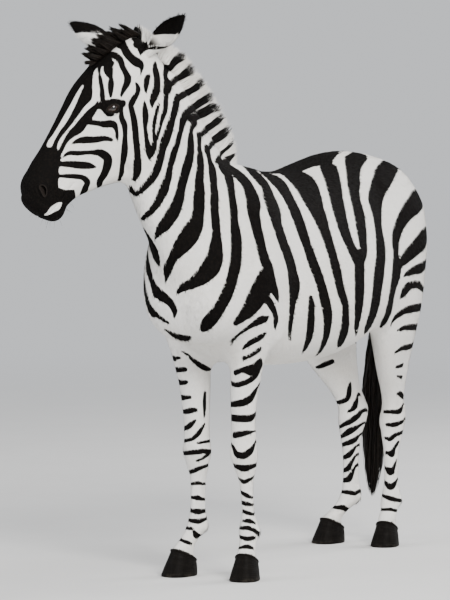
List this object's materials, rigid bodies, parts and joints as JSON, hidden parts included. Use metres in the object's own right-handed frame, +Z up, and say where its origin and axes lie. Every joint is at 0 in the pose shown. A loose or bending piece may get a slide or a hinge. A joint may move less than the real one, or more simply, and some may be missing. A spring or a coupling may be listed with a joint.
{
  "type": "zebra",
  "caption": "Life-size standing plains zebra as a still model, head turned to its right, with upright mane, forelock and hanging tail.",
  "frame": {"origin": "on the floor, under the middle of the object's bounding box", "axes": "+X forward along the trunk, +Y to the animal's left, +Z up; the head is turned towards -Y"},
  "size_m": [1.8719, 0.6402, 1.7441],
  "materials": {
    "coat": "short flat fur, near-white with black stripes, matt",
    "dark_hair": "coarse black hair, matt",
    "eye": "very dark brown, wet shine",
    "hoof": "dark horn, low sheen"
  },
  "bodies": {
    "root": {"trunk": "coat", "neck": "coat", "head": "coat", "ear_left": "coat", "ear_right": "coat", "foreleg_left": "coat", "foreleg_right": "coat", "hindleg_left": "coat", "hindleg_right": "coat", "tail_dock": "coat", "mane": "coat", "forelock": "dark_hair", "tail_tuft": "dark_hair", "eye_left": "eye", "eye_right": "eye", "hoof_fore_left": "hoof", "hoof_fore_right": "hoof", "hoof_hind_left": "hoof", "hoof_hind_right": "hoof"}
  },
  "joints": []
}
